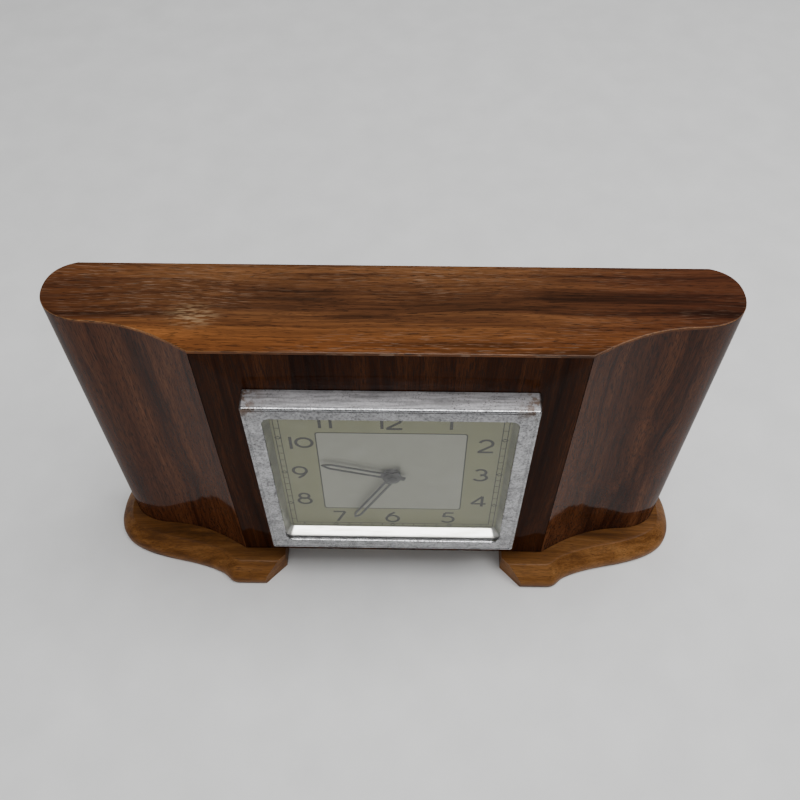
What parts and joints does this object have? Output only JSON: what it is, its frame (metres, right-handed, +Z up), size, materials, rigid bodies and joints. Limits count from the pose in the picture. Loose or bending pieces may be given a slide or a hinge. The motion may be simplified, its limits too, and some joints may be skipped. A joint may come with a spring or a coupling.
{
  "type": "mantel clock",
  "caption": "Wooden mantel clock with concave front wings, shaped feet, a square chromed bezel and a spring-driven movement wound and set from the back.",
  "frame": {"origin": "on the floor, under the middle of the clock", "axes": "+X to the clock's left as it faces you, seen as right from the front; front faces -Y; +Z up"},
  "size_m": [0.2894, 0.059, 0.1715],
  "materials": {
    "walnut_veneer": "gloss lacquered walnut veneer",
    "walnut_foot": "satin honey-brown walnut",
    "plain_wood": "unfinished carcase wood",
    "chrome": "chromed, lightly pitted",
    "glass": "clear flat glass",
    "dial_paint": "matt cream and silver-grey",
    "black_steel": "blued steel",
    "brass": "satin",
    "steel": "satin"
  },
  "bodies": {
    "root": {"front_panel": "walnut_veneer", "left_side_shell": "walnut_veneer", "right_side_shell": "walnut_veneer", "top_veneer": "walnut_veneer", "back_panel": "walnut_veneer", "left_foot": "walnut_foot", "right_foot": "walnut_foot", "top_board": "plain_wood", "bottom_board": "plain_wood", "left_batten": "plain_wood", "right_batten": "plain_wood", "bezel": "chrome", "reflector_frame": "chrome", "glass": "glass", "dial_plate": "dial_paint", "dial_foot_left": "brass", "dial_foot_right": "brass", "movement_front_plate": "brass", "movement_back_plate": "brass", "pillar_1": "brass", "pillar_2": "brass", "pillar_3": "brass", "pillar_4": "brass", "back_screw_1": "steel", "back_screw_2": "steel", "back_screw_3": "steel", "back_screw_4": "steel", "foot_screw_1": "steel", "foot_screw_2": "steel", "foot_screw_3": "steel", "foot_screw_4": "steel", "movement_cover": "steel", "cover_screw_1": "steel", "cover_screw_2": "steel", "cover_screw_3": "steel", "minute_wheel_stud": "steel", "click_stud": "steel"},
    "centre_arbor": {"centre_arbor": "steel", "centre_wheel": "brass", "cannon_pinion": "steel", "minute_hand": "black_steel", "hand_nut": "black_steel", "setting_knob": "brass"},
    "hour_wheel": {"hour_wheel": "brass", "hour_hand": "black_steel"},
    "minute_wheel": {"minute_wheel": "brass"},
    "mainspring_barrel": {"mainspring_barrel": "brass", "barrel_cover": "brass", "mainspring": "black_steel"},
    "winding_arbor": {"winding_arbor": "steel", "ratchet_wheel": "steel", "winding_key": "brass"},
    "click": {"click": "steel"},
    "third_wheel": {"third_wheel": "brass"},
    "fourth_wheel": {"fourth_wheel": "brass"},
    "escape_wheel": {"escape_wheel": "brass"},
    "pallet_lever": {"pallet_lever": "steel"},
    "balance": {"balance_wheel": "brass", "hairspring": "steel"},
    "regulator_lever": {"regulator_lever": "steel"}
  },
  "joints": [
    {"name": "minute_hand_turn", "type": "hinge", "parent": "root", "child": "centre_arbor", "pos_m": [0, 0, 0.09075], "axis": [0, 1, 0], "continuous": true},
    {"name": "hour_hand_turn", "type": "hinge", "parent": "root", "child": "hour_wheel", "pos_m": [0, 0, 0.09075], "axis": [0, 1, 0], "continuous": true},
    {"name": "minute_wheel_turn", "type": "hinge", "parent": "root", "child": "minute_wheel", "pos_m": [-0.0135, 0, 0.09075], "axis": [0, 1, 0], "continuous": true},
    {"name": "barrel_turn", "type": "hinge", "parent": "root", "child": "mainspring_barrel", "pos_m": [0, 0, 0.0694], "axis": [0, 1, 0], "continuous": true},
    {"name": "third_wheel_turn", "type": "hinge", "parent": "root", "child": "third_wheel", "pos_m": [-0.0122, 0, 0.10295], "axis": [0, 1, 0], "continuous": true},
    {"name": "fourth_wheel_turn", "type": "hinge", "parent": "root", "child": "fourth_wheel", "pos_m": [0.0027, 0, 0.10837], "axis": [0, 1, 0], "continuous": true},
    {"name": "escape_wheel_turn", "type": "hinge", "parent": "root", "child": "escape_wheel", "pos_m": [0.01678, 0, 0.10589], "axis": [0, 1, 0], "continuous": true},
    {"name": "winding_key_turn", "type": "hinge", "parent": "root", "child": "winding_arbor", "pos_m": [0, 0, 0.0694], "axis": [0, -1, 0], "range_deg": [0, 1890]},
    {"name": "click_lift", "type": "hinge", "parent": "root", "child": "click", "pos_m": [-0.0145, 0, 0.07575], "axis": [0, 1, 0], "range_deg": [0, 10], "stiffness_Nm_per_rad": 0.002},
    {"name": "pallet_swing", "type": "hinge", "parent": "root", "child": "pallet_lever", "pos_m": [0.0205, 0, 0.09495], "axis": [0, 1, 0], "range_deg": [-5, 5]},
    {"name": "balance_swing", "type": "hinge", "parent": "root", "child": "balance", "pos_m": [0.024, 0, 0.08325], "axis": [0, 1, 0], "range_deg": [-225, 225], "stiffness_Nm_per_rad": 0.00003},
    {"name": "regulator_move", "type": "hinge", "parent": "root", "child": "regulator_lever", "pos_m": [0.024, 0, 0.08325], "axis": [0, 1, 0], "range_deg": [-20, 20]}
  ],
  "couplings": [
    {"joint": "hour_hand_turn", "follows": "minute_hand_turn", "ratio": 0.083333},
    {"joint": "minute_wheel_turn", "follows": "minute_hand_turn", "ratio": -0.33333},
    {"joint": "barrel_turn", "follows": "minute_hand_turn", "ratio": -0.16667},
    {"joint": "third_wheel_turn", "follows": "minute_hand_turn", "ratio": -8},
    {"joint": "fourth_wheel_turn", "follows": "minute_hand_turn", "ratio": 60}
  ]
}
